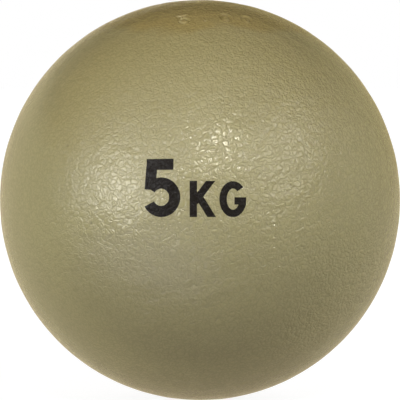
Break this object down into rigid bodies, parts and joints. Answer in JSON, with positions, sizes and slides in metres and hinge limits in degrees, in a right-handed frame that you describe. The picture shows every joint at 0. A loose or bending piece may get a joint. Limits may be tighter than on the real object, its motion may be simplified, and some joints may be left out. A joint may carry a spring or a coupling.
{
  "type": "shot put",
  "caption": "Cast iron shot put ball for throwing, satin olive-gold painted, with a leaded, plugged and puttied calibration bore inside.",
  "frame": {"origin": "centre of the ball", "axes": "+Z along the axis of the calibration bore, out of its mouth at the top of the ball; -Y towards the side that carries the printed weight mark and faces the camera in the picture; +X to the right in the picture"},
  "size_m": [0.11, 0.11, 0.11],
  "materials": {
    "painted_iron": "satin olive-gold metallic paint over a fine-grained sand-cast skin",
    "painted_putty": "polyester putty, rubbed flush and painted over with the ball",
    "blackened_steel": "blackened set screw, thread oiled",
    "vulcanised_fibre": "punched red fibre sheet",
    "cast_lead": "dull poured lead"
  },
  "bodies": {
    "root": {"cast_body": "painted_iron", "plug_filler": "painted_putty", "threaded_plug": "blackened_steel", "packing_disc": "vulcanised_fibre", "lead_ballast": "cast_lead"}
  },
  "joints": []
}
